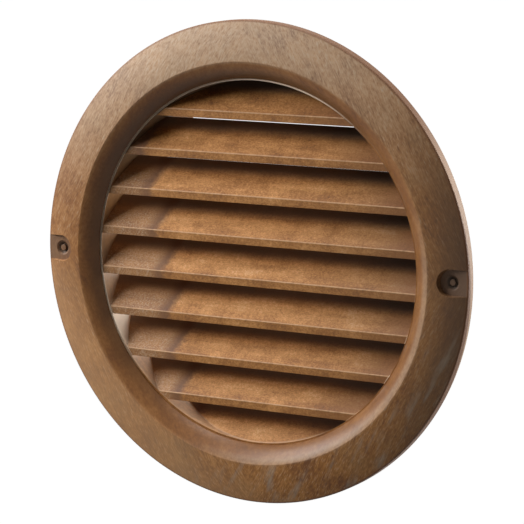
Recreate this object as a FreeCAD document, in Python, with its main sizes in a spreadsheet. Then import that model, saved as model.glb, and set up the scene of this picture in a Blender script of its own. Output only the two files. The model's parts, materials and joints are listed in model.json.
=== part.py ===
import FreeCAD, Part
import math
import os
import Sketcher

# Round vent cover: one plastic moulding with a flange ring, fixed louvre slats and a duct tube.
# The tube runs along Y. The wall plane is y = 0, the front faces -Y and the tube goes back along +Y.
# Lengths are in millimetres and +Z is up.

# Driving dimensions, each with the word that names its cell
SIZES = {
    "flange_radius": 64.0,
    "rim_depth": 2.7,
    "rim_bevel": 0.6,
    "crown_radius": 45.0,
    "opening_radius": 48.2,
    "throat_width": 5.1,
    "throat_radius": 9.5,
    "ridge_height": 4.5,
    "ridge_round": 0.5,
    "land_width": 0.5,
    "land_height": 0.65,
    "land_step": 0.35,
    "shell_wall": 1.6,
    "spigot_wall": 1.5,
    "spigot_length": 24.0,
    "spigot_lead_in": 0.7,
    "slat_pitch": 11.0,
    "slat_lips": 8,
    "slat_angle": 45.0,
    "slat_wall": 1.6,
    "slat_depth": 8.2,
    "slat_recess": 0.2,
    "lip_top_round": 0.3,
    "lip_under_round": 0.15,
    "slat_back_round": 0.3,
    "screw_inset": 4.5,
    "pocket_width": 6.6,
    "pocket_draft": 14.0,
    "knockout_radius": 1.65,
    "knockout_web": 0.6,
    "dish_radius": 2.0,
    "dish_angle": 50.0,
    "pip_radius": 0.85,
    "pip_sink": 0.15,
    "cut_overrun": 1.0,
}

# Expressions that several sketches share
TUBE_RADIUS = "(dims.opening_radius + dims.spigot_wall)"
RIDGE_RADIUS = "(dims.opening_radius + dims.throat_width)"
THROAT_FOOT_RADIUS = "(dims.opening_radius + dims.land_width)"
THROAT_FOOT_HEIGHT = "(dims.land_height + dims.land_step)"
FRONT_SLOPE = f"((dims.ridge_height - dims.rim_depth) / (dims.flange_radius - {RIDGE_RADIUS}))"
THROAT_SLOPE = f"((dims.ridge_height - {THROAT_FOOT_HEIGHT}) / (dims.throat_width - dims.land_width))"
HOLLOW_RIM_HEIGHT = f"(dims.rim_depth + dims.shell_wall * {FRONT_SLOPE} - dims.shell_wall)"
HOLLOW_TUBE_HEIGHT = (
    f"({THROAT_FOOT_HEIGHT} + ({TUBE_RADIUS} - {THROAT_FOOT_RADIUS}) * {THROAT_SLOPE} - dims.shell_wall)"
)
SLAT_FACE = "(dims.slat_wall / cos(dims.slat_angle * 1deg))"
SLAT_FRONT = "(dims.land_height - dims.slat_recess)"
TOP_LIP = f"(dims.slat_pitch * (dims.slat_lips - 1) / 2 + {SLAT_FACE} / 2)"
SCREW_PLACE = "(dims.flange_radius - dims.screw_inset)"
DISH_SPREAD = "tan(dims.dish_angle * 1deg)"
DISH_DEPTH = f"((dims.dish_radius - dims.pip_radius) / {DISH_SPREAD})"

# Names for the numbers that sketches use for their origin, axes and line ends
ORIGIN_POINT = (-1, 1)
ACROSS_AXIS = -1
UP_AXIS = -2
START = 1
END = 2
CENTRE = 3

QUARTER_TURN = 90.0
SAME_PLACE = 1e-3

doc = FreeCAD.newDocument("round_vent_cover")
sheet = doc.addObject("Spreadsheet::Sheet", "dims")
for row, (word, number) in enumerate(SIZES.items(), start=1):
    sheet.set(f"A{row}", word)
    sheet.set(f"B{row}", str(number))
    sheet.setAlias(f"B{row}", word)
doc.recompute()


def bind(thing, **expressions):
    """Tie properties of an object to the sheet."""
    for prop, expression in expressions.items():
        thing.setExpression(prop.replace("__", "."), expression)


def new_body(name):
    """A body whose solids may lie apart until they are joined to the ring."""
    body = doc.addObject("PartDesign::Body", name)
    body.AllowCompound = True
    return body


def origin_feature(body, role):
    """The body's own plane or axis with this role."""
    return next(feature for feature in body.Origin.OriginFeatures if feature.Role == role)


def new_sketch(body, name, role):
    """A sketch on one of the body's origin planes."""
    sketch = body.newObject("Sketcher::SketchObject", name)
    sketch.AttachmentSupport = [(origin_feature(body, role), "")]
    sketch.MapMode = "FlatFace"
    return sketch


def length_of(expression):
    """The length that an expression stands for now; None stands for a place on an axis."""
    return float(sheet.evalExpression(expression)) if expression else 0.0


def spot(across, up):
    """The point of a sketch's plane at two distances from its origin."""
    return FreeCAD.Vector(length_of(across), length_of(up), 0)


def measure(sketch, kind, geometry, point, expression):
    """Set one distance of a point from the sketch's origin, tied to an expression."""
    distance = Sketcher.Constraint(kind, *ORIGIN_POINT, geometry, point, length_of(expression))
    sketch.setExpression(f"Constraints[{sketch.addConstraint(distance)}]", expression)


def hold(sketch, geometry, point, across, up):
    """Fix a point of the sketch; None stands for a place on the sketch's own axis."""
    for kind, expression, axis in (("DistanceX", across, UP_AXIS), ("DistanceY", up, ACROSS_AXIS)):
        if expression is None:
            sketch.addConstraint(Sketcher.Constraint("PointOnObject", geometry, point, axis))
        else:
            measure(sketch, kind, geometry, point, expression)


def draw_chain(sketch, corners, closed=True):
    """Straight lines from corner to corner."""
    count = len(corners)
    places = [spot(*corner) for corner in corners]
    lines = count if closed else count - 1
    for i in range(lines):
        sketch.addGeometry(Part.LineSegment(places[i], places[(i + 1) % count]), False)
    for i in range(lines):
        hold(sketch, i, START, *corners[i])
        if closed or i + 1 < lines:
            sketch.addConstraint(Sketcher.Constraint("Coincident", i, END, (i + 1) % lines, START))
    if not closed:
        hold(sketch, lines - 1, END, *corners[-1])
    doc.recompute()
    return lines


def join_with_arc(sketch, start, end, middle):
    """Join two places of the sketch with an arc through a middle point."""
    first = sketch.getPoint(*start)
    arc = sketch.addGeometry(Part.Arc(first, middle, sketch.getPoint(*end)), False)
    ends = sorted((START, END), key=lambda place: sketch.getPoint(arc, place).distanceToPoint(first))
    sketch.addConstraint(Sketcher.Constraint("Coincident", arc, ends[0], *start))
    sketch.addConstraint(Sketcher.Constraint("Coincident", arc, ends[1], *end))
    return arc


def held_point(sketch, across, up):
    """A construction point at a set place."""
    place = (sketch.addGeometry(Part.Point(spot(across, up)), True), START)
    hold(sketch, *place, across, up)
    doc.recompute()
    return place


def centre_behind(start, end, radius):
    """Centre of the arc from start to end that bulges to the front."""
    chord = end - start
    forward = FreeCAD.Vector(-chord.y, chord.x, 0).normalize()
    return start + chord / 2 - forward * math.sqrt(radius ** 2 - (chord.Length / 2) ** 2)


def crossing(one, one_reach, other, other_reach):
    """The front one of the two points that lie at set distances from two centres."""
    gap = other - one
    along = (one_reach ** 2 - other_reach ** 2 + gap.Length ** 2) / (2 * gap.Length)
    aside = math.sqrt(one_reach ** 2 - along ** 2)
    way = FreeCAD.Vector(gap).normalize()
    side = FreeCAD.Vector(-way.y, way.x, 0)
    return min((one + way * along + side * step for step in (-aside, aside)), key=lambda point: point.y)


def front_at(centre, radius, across):
    """The front point of a circle at a set distance from the tube's axis."""
    return FreeCAD.Vector(across, centre.y - math.sqrt(radius ** 2 - (across - centre.x) ** 2), 0)


def towards(centre, point, reach):
    """The point at a set distance from a centre, on the line to another point."""
    return centre + (point - centre).normalize() * reach


def draw_arc(sketch, start, end, centre, radius_word):
    """An arc of a set radius, first drawn about this centre; gives its two ends in order."""
    radius = sheet.get(radius_word)
    arc = sketch.addGeometry(Part.Arc(start, towards(centre, (start + end) / 2, radius), end), False)
    ends = sorted((START, END), key=lambda place: sketch.getPoint(arc, place).distanceToPoint(start))
    index = sketch.addConstraint(Sketcher.Constraint("Radius", arc, radius))
    sketch.setExpression(f"Constraints[{index}]", f"dims.{radius_word}")
    return (arc, ends[0]), (arc, ends[1])


def draw_front(sketch, wall_foot, throat_foot):
    """The rim's side and bevel, then the crowned slope, the ridge's rounding and the throat, all tangent."""
    rim_corner = held_point(sketch, "dims.flange_radius", "-dims.rim_depth")
    ridge_top = held_point(sketch, RIDGE_RADIUS, "-dims.ridge_height")
    rim = sketch.getPoint(*rim_corner)
    ridge = sketch.getPoint(*ridge_top)
    foot = sketch.getPoint(*throat_foot)
    crown_centre = centre_behind(rim, ridge, sheet.crown_radius)
    throat_centre = centre_behind(ridge, foot, sheet.throat_radius)
    ridge_centre = crossing(crown_centre, sheet.crown_radius - sheet.ridge_round,
                            throat_centre, sheet.throat_radius - sheet.ridge_round)

    bevel_foot = rim + FreeCAD.Vector(0, sheet.rim_bevel, 0)
    crown_start = front_at(crown_centre, sheet.crown_radius, sheet.flange_radius - sheet.rim_bevel)
    crown_end = towards(crown_centre, ridge_centre, sheet.crown_radius)
    throat_start = towards(throat_centre, ridge_centre, sheet.throat_radius)
    side = sketch.addGeometry(Part.LineSegment(sketch.getPoint(*wall_foot), bevel_foot), False)
    bevel = sketch.addGeometry(Part.LineSegment(bevel_foot, crown_start), False)
    crown = draw_arc(sketch, crown_start, crown_end, crown_centre, "crown_radius")
    edge = draw_arc(sketch, crown_end, throat_start, ridge_centre, "ridge_round")
    throat = draw_arc(sketch, throat_start, foot, throat_centre, "throat_radius")

    hold(sketch, bevel, START, "dims.flange_radius", "-(dims.rim_depth - dims.rim_bevel)")
    measure(sketch, "DistanceX", bevel, END, "dims.flange_radius - dims.rim_bevel")
    for one, other in ((crown[1], edge[0]), (edge[1], throat[0])):
        sketch.addConstraint(Sketcher.Constraint("Tangent", *one, *other))
    meetings = (((side, START), wall_foot), ((side, END), (bevel, START)), ((bevel, END), crown[0]),
                (throat[1], throat_foot))
    for one, other in meetings:
        sketch.addConstraint(Sketcher.Constraint("Coincident", *one, *other))
    for corner, curve in ((rim_corner, crown), (ridge_top, crown), (ridge_top, throat)):
        sketch.addConstraint(Sketcher.Constraint("PointOnObject", *corner, curve[0][0]))
    doc.recompute()


def spin(body, sketch, name):
    """Turn a section about the tube's axis."""
    turned = body.newObject("PartDesign::Revolution", name)
    turned.Profile = sketch
    turned.ReferenceAxis = (origin_feature(body, "Y_Axis"), [""])
    doc.recompute()
    return turned


def pad(body, sketch, name, length, both_ways=False):
    """Push a section out by a length."""
    pushed = body.newObject("PartDesign::Pad", name)
    pushed.Profile = sketch
    pushed.SideType = "Symmetric" if both_ways else "One side"
    bind(pushed, Length=length)
    doc.recompute()
    return pushed


def mirror_across(body, feature, name):
    """Repeat a feature on the other side of the vertical middle plane."""
    twin = body.newObject("PartDesign::Mirrored", name)
    twin.Originals = [feature]
    twin.MirrorPlane = (origin_feature(body, "YZ_Plane"), [""])
    body.Tip = twin
    doc.recompute()
    return twin


def dress(body, kind, name, base, edges, **sizes):
    """A fillet or chamfer along named edges of the last feature."""
    feature = body.newObject(f"PartDesign::{kind}", name)
    feature.Base = (base, edges)
    bind(feature, **sizes)
    doc.recompute()
    return feature


def edges_where(feature, test):
    """Names of the feature's edges that pass a test on their middle point."""
    names = []
    for number, edge in enumerate(feature.Shape.Edges, start=1):
        middle = edge.valueAt((edge.FirstParameter + edge.LastParameter) / 2)
        if test(edge, middle):
            names.append(f"Edge{number}")
    return names


def near(one, other):
    """True where two lengths are the same to within SAME_PLACE."""
    return abs(one - other) < SAME_PLACE


def boolean(kind, name, base, tool):
    """A Part boolean of two objects, with its split faces joined again."""
    result = doc.addObject(f"Part::{kind}", name)
    result.Base = base
    result.Tool = tool
    result.Refine = True
    doc.recompute()
    return result


def round_along_y(kind, name, across, front, **sizes):
    """A cylinder or cone that starts at y = -front and runs back along +Y."""
    rod = doc.addObject(f"Part::{kind}", name)
    upright_to_back = FreeCAD.Rotation(FreeCAD.Vector(1, 0, 0), -QUARTER_TURN)
    rod.Placement = FreeCAD.Placement(FreeCAD.Vector(), upright_to_back)
    bind(rod, Placement__Base__x=across, Placement__Base__y=f"-({front})", **sizes)
    doc.recompute()
    return rod


def make_flange_ring():
    """The ring and the tube in one turned section, still solid behind the front."""
    body = new_body("flange_ring")
    section = new_sketch(body, "ring_section", "XY_Plane")
    corners = [
        (THROAT_FOOT_RADIUS, f"-{THROAT_FOOT_HEIGHT}"),
        (THROAT_FOOT_RADIUS, "-dims.land_height"),
        ("dims.opening_radius", "-dims.land_height"),
        ("dims.opening_radius", "dims.spigot_length"),
        (TUBE_RADIUS, "dims.spigot_length"),
        (TUBE_RADIUS, None),
        ("dims.flange_radius", None),
    ]
    lines = draw_chain(section, corners, closed=False)
    draw_front(section, (lines - 1, END), (0, START))
    ring = spin(body, section, "ring_turned")

    def on_circle(radius, depth):
        def test(edge, middle):
            in_place = near(math.hypot(middle.x, middle.z), radius) and near(middle.y, depth)
            return in_place and edge.Length > radius
        return test

    tail = edges_where(ring, on_circle(sheet.opening_radius + sheet.spigot_wall, sheet.spigot_length))
    dress(body, "Chamfer", "tube_lead_in", ring, tail, Size="dims.spigot_lead_in")
    return body


def slot_outline(body, name, half_width):
    """A slot that is round about the screw's place and open past the rim."""
    sketch = new_sketch(body, name, "XZ_Plane")
    beyond = "dims.flange_radius + dims.cut_overrun"
    corners = [
        (SCREW_PLACE, f"-{half_width}"),
        (beyond, f"-{half_width}"),
        (beyond, half_width),
        (SCREW_PLACE, half_width),
    ]
    lines = draw_chain(sketch, corners, closed=False)
    start = sketch.getPoint(lines - 1, END)
    end = sketch.getPoint(0, START)
    inner_end = (start + end) / 2 - FreeCAD.Vector((start - end).Length / 2, 0, 0)
    arc = join_with_arc(sketch, (lines - 1, END), (0, START), inner_end)
    measure(sketch, "DistanceX", arc, CENTRE, SCREW_PLACE)
    doc.recompute()
    return sketch


def make_back_hollow():
    """The room behind the ring, less the pads that carry the screw pockets."""
    body = new_body("back_hollow")
    section = new_sketch(body, "hollow_section", "XY_Plane")
    corners = [
        ("dims.flange_radius - dims.shell_wall", "dims.cut_overrun"),
        ("dims.flange_radius - dims.shell_wall", f"-{HOLLOW_RIM_HEIGHT}"),
        (RIDGE_RADIUS, "-(dims.ridge_height - dims.shell_wall)"),
        (TUBE_RADIUS, f"-{HOLLOW_TUBE_HEIGHT}"),
        (TUBE_RADIUS, "dims.cut_overrun"),
    ]
    draw_chain(section, corners)
    spin(body, section, "hollow_turned")

    pads = new_body("screw_pads")
    outline = slot_outline(pads, "pad_outline", "(dims.pocket_width / 2 + dims.shell_wall)")
    block = pad(pads, outline, "pad_block", "dims.ridge_height")
    mirror_across(pads, block, "pad_pair")
    return boolean("Cut", "hollow_round_pads", body, pads)


def make_pockets():
    """Tapered slots for the screw heads, with their floor level with the rim's front edge."""
    body = new_body("screw_pockets")
    outline = slot_outline(body, "pocket_outline", "(dims.pocket_width / 2)")
    bind(outline, AttachmentOffset__Base__z="dims.rim_depth")
    block = pad(body, outline, "pocket_cut", "dims.ridge_height")
    bind(block, TaperAngle="dims.pocket_draft")
    doc.recompute()
    mirror_across(body, block, "pocket_pair")
    return body


def make_knockout(side, across):
    """A closed screw hole: a dish round a low pip, and a bore behind that leaves a thin web."""
    dish = round_along_y("Cone", f"{side}_dish", across, "dims.rim_depth + dims.cut_overrun",
                         Radius1=f"dims.dish_radius + dims.cut_overrun * {DISH_SPREAD}", Radius2="0",
                         Height=f"dims.cut_overrun + dims.dish_radius / {DISH_SPREAD}")
    pip = round_along_y("Cylinder", f"{side}_pip", across, "dims.rim_depth - dims.pip_sink",
                        Radius="dims.pip_radius", Height=f"dims.dish_radius / {DISH_SPREAD}")
    ring = boolean("Cut", f"{side}_dish_ring", dish, pip)
    bore_end = f"dims.rim_depth - {DISH_DEPTH} - dims.knockout_web"
    bore = round_along_y("Cylinder", f"{side}_bore", across, bore_end,
                         Radius="dims.knockout_radius", Height=f"{bore_end} + dims.cut_overrun")
    return boolean("Fuse", f"{side}_knockout", ring, bore)


def make_slat(name, depth, lip_height):
    """One blade that slopes down to the front, cut upright at its lip, with its edges rounded."""
    body = new_body(name)
    section = new_sketch(body, f"{name}_section", "YZ_Plane")
    rise = f"({depth}) * tan(dims.slat_angle * 1deg)"
    back = f"{depth} - {SLAT_FRONT}"
    corners = [
        (f"-{SLAT_FRONT}", lip_height),
        (f"-{SLAT_FRONT}", f"{lip_height} - {SLAT_FACE}"),
        (back, f"{lip_height} - {SLAT_FACE} + {rise}"),
        (back, f"{lip_height} + {rise}"),
    ]
    draw_chain(section, corners)
    blade = pad(body, section, f"{name}_blade", f"2 * {TUBE_RADIUS}", both_ways=True)
    ends = [section.getPoint(line, START) for line in range(len(corners))]

    def along_edge(point):
        def test(edge, middle):
            return near(middle.y, point.x) and near(middle.z, point.y) and near(middle.x, 0)
        return test

    roundings = (("lip_top", ends[0]), ("lip_under", ends[1]), ("slat_back", ends[3]))
    for word, corner in roundings:
        edges = edges_where(blade, along_edge(corner))
        blade = dress(body, "Fillet", f"{name}_{word}", blade, edges, Radius=f"dims.{word}_round")
    return body


def make_louvres():
    """The bank of slats, cut to run halfway into the tube's wall."""
    reach_to_wall = f"({TUBE_RADIUS} - {TOP_LIP}) / tan(dims.slat_angle * 1deg)"
    top = make_slat("top_slat", reach_to_wall, TOP_LIP)
    lower = make_slat("lower_slats", "dims.slat_depth", f"({TOP_LIP} - dims.slat_pitch)")
    row = lower.newObject("PartDesign::LinearPattern", "slat_row")
    row.TransformMode = "Whole shape"
    row.Direction = (origin_feature(lower, "Z_Axis"), [""])
    row.Reversed = True
    bind(row, Length="dims.slat_pitch * (dims.slat_lips - 1)", Occurrences="dims.slat_lips")
    lower.Tip = row
    doc.recompute()
    bank = boolean("Fuse", "slat_bank", lower, top)
    bore = round_along_y("Cylinder", "tube_bore", "0", "dims.land_height",
                         Radius="dims.opening_radius + dims.spigot_wall / 2",
                         Height="dims.land_height + dims.spigot_length")
    return boolean("Common", "louvres", bank, bore)


def make_vent_cover():
    """The finished moulding."""
    shell = boolean("Cut", "ring_shell", make_flange_ring(), make_back_hollow())
    shell = boolean("Cut", "pocketed_shell", shell, make_pockets())
    shell = boolean("Cut", "shell_with_left_hole", shell, make_knockout("left", f"-{SCREW_PLACE}"))
    shell = boolean("Cut", "shell_with_both_holes", shell, make_knockout("right", SCREW_PLACE))
    return boolean("Fuse", "vent_cover", shell, make_louvres())


def check_document():
    """Stop if any object failed to build."""
    for thing in doc.Objects:
        faults = [state for state in thing.State if state in ("Invalid", "Error")]
        if faults:
            raise RuntimeError(f"{thing.Name} is {faults}")


def write_part(thing):
    """Write one finished piece under its label."""
    shape = thing.Shape
    if shape.isNull() or not shape.isValid():
        raise RuntimeError(f"{thing.Label} has no valid shape")
    print(thing.Label, "solids", len(shape.Solids), "faces", len(shape.Faces))
    print(thing.Label, "volume", round(shape.Volume, 1), "cubic millimetres")
    shape.exportStep(os.path.join("parts", f"{thing.Label}.step"))


cover = make_vent_cover()
check_document()
os.makedirs("parts", exist_ok=True)
write_part(cover)
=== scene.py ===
# %% [markdown]
# # Round vent cover
# The cover is one plastic moulding: a crowned ring that hides the edge of a hole in a wall, a short tube
# that goes into the duct, and a bank of fixed slats that keep the rain out. The solid part is loaded first
# and gives the sizes that matter. This lesson builds the moulding once more with finer roundings, and adds
# the finish, the light and the camera.

# %% Load the part
import json
import math

import bmesh
import bpy
from mathutils import Matrix, Vector


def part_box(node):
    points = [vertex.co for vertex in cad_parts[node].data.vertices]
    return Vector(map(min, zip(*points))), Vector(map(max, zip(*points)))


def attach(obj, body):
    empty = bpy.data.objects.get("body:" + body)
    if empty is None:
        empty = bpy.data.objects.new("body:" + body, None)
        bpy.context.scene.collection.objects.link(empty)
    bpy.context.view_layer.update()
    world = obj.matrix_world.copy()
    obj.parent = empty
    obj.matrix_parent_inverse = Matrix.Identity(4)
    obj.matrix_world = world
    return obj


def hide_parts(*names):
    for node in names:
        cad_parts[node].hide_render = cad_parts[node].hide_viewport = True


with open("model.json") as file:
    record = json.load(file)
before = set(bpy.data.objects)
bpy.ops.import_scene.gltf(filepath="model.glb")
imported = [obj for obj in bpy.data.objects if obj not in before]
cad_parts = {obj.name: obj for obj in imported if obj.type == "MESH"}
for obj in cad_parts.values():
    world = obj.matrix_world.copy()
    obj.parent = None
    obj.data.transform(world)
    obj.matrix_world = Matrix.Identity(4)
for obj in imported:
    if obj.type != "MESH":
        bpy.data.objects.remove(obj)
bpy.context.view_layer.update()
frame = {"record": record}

# %% [markdown]
# ## The camera
# The photograph was taken with a long lens from the right and a little above, so the ring looks almost, but
# not quite, like a plain ellipse. A camera can be aimed by hand until the outlines agree. Writing the aim
# as turn, height, distance and a small roll is easier to read, so the camera is placed on a sphere round
# the ring.

# %% Place the camera
MM = 0.001
AIM_POINT = Vector((0.0, -3.0, 0.0)) * MM
CAMERA_TURN = math.radians(31.22)
CAMERA_HEIGHT = math.radians(9.42)
CAMERA_ROLL = math.radians(-0.46)
CAMERA_DISTANCE = 711.0 * MM
SENSOR_WIDTH = 36.0
LENS_LENGTH = 186.4
FRAME_SHIFT = (0.0251, 0.0048)


def add_camera():
    """A camera on a sphere round the aim point, looking at it."""
    across = math.cos(CAMERA_HEIGHT)
    away = Vector((math.sin(CAMERA_TURN) * across, -math.cos(CAMERA_TURN) * across,
                   math.sin(CAMERA_HEIGHT)))
    lens = bpy.data.cameras.new("studio_camera")
    lens.sensor_width = SENSOR_WIDTH
    lens.lens = LENS_LENGTH
    lens.shift_x, lens.shift_y = FRAME_SHIFT
    camera = bpy.data.objects.new("studio_camera", lens)
    look = (-away).to_track_quat("-Z", "Y").to_matrix().to_4x4()
    place = Matrix.Translation(AIM_POINT + away * CAMERA_DISTANCE)
    camera.matrix_world = place @ look @ Matrix.Rotation(CAMERA_ROLL, 4, "Z")
    bpy.context.scene.collection.objects.link(camera)
    bpy.context.scene.camera = camera
    return camera


camera = add_camera()
print("camera stands at", [round(value, 4) for value in camera.matrix_world.translation])

# %% [markdown]
# ## Sizes
# The frame holds the outer sizes, the duct's fit and the screws' places. They could be typed in again, but
# then the scene and the solid could drift apart. Sizes that the frame does not hold are named where they
# are first needed. All are in millimetres until a mesh is made.

# %% Name the sizes
low, high = (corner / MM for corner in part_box("vent_cover"))
mounts = {mount["name"]: mount["dims"] for mount in frame["record"]["mounts"]}

FLANGE_RADIUS = high.x
RIDGE_HEIGHT = -low.y
TUBE_LENGTH = high.y
TUBE_RADIUS = mounts["duct_spigot"]["r_mm"]
SCREW_PLACE = mounts["screw_knockouts"]["spacing_x_mm"] / 2
KNOCKOUT_RADIUS = mounts["screw_knockouts"]["hole_r_mm"]
TUBE_WALL = 1.5
OPENING_RADIUS = TUBE_RADIUS - TUBE_WALL
print("ring radius", round(FLANGE_RADIUS, 2), "opening radius", round(OPENING_RADIUS, 2))

# %% [markdown]
# ## The ring's section
# Cut the ring anywhere and the same outline shows: a straight rim, a gently crowned slope up to a crisp
# ridge, a rounded throat down to a narrow flat land, then the tube. A lathe shape like this could be made
# with a Screw modifier. Here the outline is worked out as lines and true arcs, so each rounding is tangent
# to its neighbours.

# %% Helpers for true arcs
ARC_STEP = math.radians(2.5)


def centre_behind(start, end, radius):
    """Centre of the arc between two points that bulges to the front."""
    chord = end - start
    forward = Vector((-chord.y, chord.x)).normalized()
    return (start + end) / 2 - forward * math.sqrt(radius ** 2 - (chord.length / 2) ** 2)


def crossing(one, one_reach, other, other_reach):
    """The front one of the two points at set distances from two centres."""
    gap = other - one
    along = (one_reach ** 2 - other_reach ** 2 + gap.length ** 2) / (2 * gap.length)
    aside = math.sqrt(one_reach ** 2 - along ** 2)
    way = gap.normalized()
    side = Vector((-way.y, way.x))
    both = [one + way * along + side * step for step in (-aside, aside)]
    return min(both, key=lambda point: point.y)


def arc(centre, start, end):
    """Points along the shorter arc from start to end, both ends included."""
    spoke = start - centre
    sweep = spoke.angle_signed(end - centre)
    steps = max(2, math.ceil(abs(sweep) / ARC_STEP))
    turns = [Matrix.Rotation(-sweep * step / steps, 2) for step in range(steps + 1)]
    return [centre + turn @ spoke for turn in turns]


# %% Draw the ring's section
RIM_DEPTH = 2.7
RIM_ROUND = 0.55
THROAT_WIDTH = 5.1
RIDGE_RADIUS = OPENING_RADIUS + THROAT_WIDTH
CROWN_RADIUS = 45.0
RIDGE_ROUND = 0.5
THROAT_RADIUS = 9.5
LAND_WIDTH = 0.5
LAND_HEIGHT = 0.65
LAND_STEP = 0.35
SHELL_WALL = 1.6
TUBE_LEAD_IN = 0.7


def ring_section():
    """The closed outline of ring and tube, as distance from the axis and depth behind the wall plane."""
    rim = Vector((FLANGE_RADIUS, -RIM_DEPTH))
    ridge = Vector((RIDGE_RADIUS, -RIDGE_HEIGHT))
    foot = Vector((OPENING_RADIUS + LAND_WIDTH, -LAND_HEIGHT - LAND_STEP))
    crown_centre = centre_behind(rim, ridge, CROWN_RADIUS)
    throat_centre = centre_behind(ridge, foot, THROAT_RADIUS)
    ridge_centre = crossing(crown_centre, CROWN_RADIUS - RIDGE_ROUND,
                            throat_centre, THROAT_RADIUS - RIDGE_ROUND)
    crown_end = crown_centre + (ridge_centre - crown_centre).normalized() * CROWN_RADIUS
    throat_start = throat_centre + (ridge_centre - throat_centre).normalized() * THROAT_RADIUS

    rim_across = FLANGE_RADIUS - RIM_ROUND
    rim_reach = math.sqrt((CROWN_RADIUS - RIM_ROUND) ** 2 - (rim_across - crown_centre.x) ** 2)
    rim_back = crown_centre.y - rim_reach
    rim_centre = Vector((rim_across, rim_back))
    crown_start = crown_centre + (rim_centre - crown_centre).normalized() * CROWN_RADIUS
    side_top = Vector((FLANGE_RADIUS, rim_back))

    front_fall = (RIDGE_HEIGHT - RIM_DEPTH) / (FLANGE_RADIUS - RIDGE_RADIUS)
    throat_fall = (RIDGE_HEIGHT + foot.y) / (RIDGE_RADIUS - foot.x)
    hollow_rim = RIM_DEPTH + SHELL_WALL * front_fall - SHELL_WALL
    hollow_tube = -foot.y + (TUBE_RADIUS - foot.x) * throat_fall - SHELL_WALL

    outline = [Vector((FLANGE_RADIUS, 0.0))]
    outline += arc(rim_centre, side_top, crown_start)
    outline += arc(crown_centre, crown_start, crown_end)[1:]
    outline += arc(ridge_centre, crown_end, throat_start)[1:]
    outline += arc(throat_centre, throat_start, foot)[1:]
    corners = [
        (foot.x, -LAND_HEIGHT),
        (OPENING_RADIUS, -LAND_HEIGHT),
        (OPENING_RADIUS, TUBE_LENGTH),
        (TUBE_RADIUS - TUBE_LEAD_IN, TUBE_LENGTH),
        (TUBE_RADIUS, TUBE_LENGTH - TUBE_LEAD_IN),
        (TUBE_RADIUS, -hollow_tube),
        (RIDGE_RADIUS, SHELL_WALL - RIDGE_HEIGHT),
        (FLANGE_RADIUS - SHELL_WALL, -hollow_rim),
        (FLANGE_RADIUS - SHELL_WALL, 0.0),
    ]
    return outline + [Vector(corner) for corner in corners]


section = ring_section()
print("ring section has", len(section), "points")

# %% [markdown]
# ## Node trees in code
# Geometry Nodes suit a shape that follows a rule. A tree is usually wired by hand in the node editor. In a
# script a tiny helper that adds a node, sets its options and fills or links its inputs keeps the wiring
# readable.

# %% Helpers for node trees
def add_node(tree, kind, inputs=None, **options):
    """Add a node, set its options, then fill or link its inputs by name or number."""
    node = tree.nodes.new(kind)
    for option, value in options.items():
        setattr(node, option, value)
    for socket, value in (inputs or {}).items():
        if isinstance(value, bpy.types.NodeSocket):
            tree.links.new(value, node.inputs[socket])
        else:
            node.inputs[socket].default_value = value
    return node


def calc(tree, operation, *terms):
    """One Math node, for any sum: gives the socket with the result."""
    return add_node(tree, "ShaderNodeMath", dict(enumerate(terms)), operation=operation).outputs[0]


def new_shape_tree(name, sizes):
    """A geometry tree with one named input for each size, and its input and output nodes."""
    tree = bpy.data.node_groups.new(name, "GeometryNodeTree")
    tree.interface.new_socket("Geometry", in_out="INPUT", socket_type="NodeSocketGeometry")
    tree.interface.new_socket("Geometry", in_out="OUTPUT", socket_type="NodeSocketGeometry")
    for word, kind in sizes.items():
        tree.interface.new_socket(word, in_out="INPUT", socket_type=f"NodeSocket{kind}")
    return tree, tree.nodes.new("NodeGroupInput").outputs, tree.nodes.new("NodeGroupOutput").inputs


def grow(name, tree, sizes, start=None):
    """Run a tree on a carrier object and keep the plain mesh that it makes."""
    carrier = bpy.data.objects.new(name, start or bpy.data.meshes.new(f"{name}_start"))
    bpy.context.scene.collection.objects.link(carrier)
    modifier = carrier.modifiers.new(tree.name, "NODES")
    modifier.node_group = tree
    for socket in tree.interface.items_tree:
        if socket.in_out == "INPUT" and socket.name in sizes:
            modifier[socket.identifier] = sizes[socket.name]
    shape = carrier.evaluated_get(bpy.context.evaluated_depsgraph_get())
    mesh = bpy.data.meshes.new_from_object(shape)
    mesh.name = name
    carrier.modifiers.remove(modifier)
    carrier.data = mesh
    return carrier


def volume_of(piece):
    """Volume inside a closed mesh in cubic millimetres; a shape turned inside out comes out negative."""
    shell = bmesh.new()
    shell.from_mesh(piece.data)
    volume = shell.calc_volume(signed=True) / MM ** 3
    shell.free()
    return round(volume, 1)


# %% [markdown]
# ## Turning a section
# The ring, and the small round cuts for the screws, are all turned shapes. A grid is bent round the axis:
# one way along the grid walks the section's points, the other way walks round the circle, and the seam is
# merged. Sampling the points by number keeps every arc exact, which a resampled curve would not.

# %% Build the turning tree
MERGE_GAP = 0.001 * MM


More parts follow.
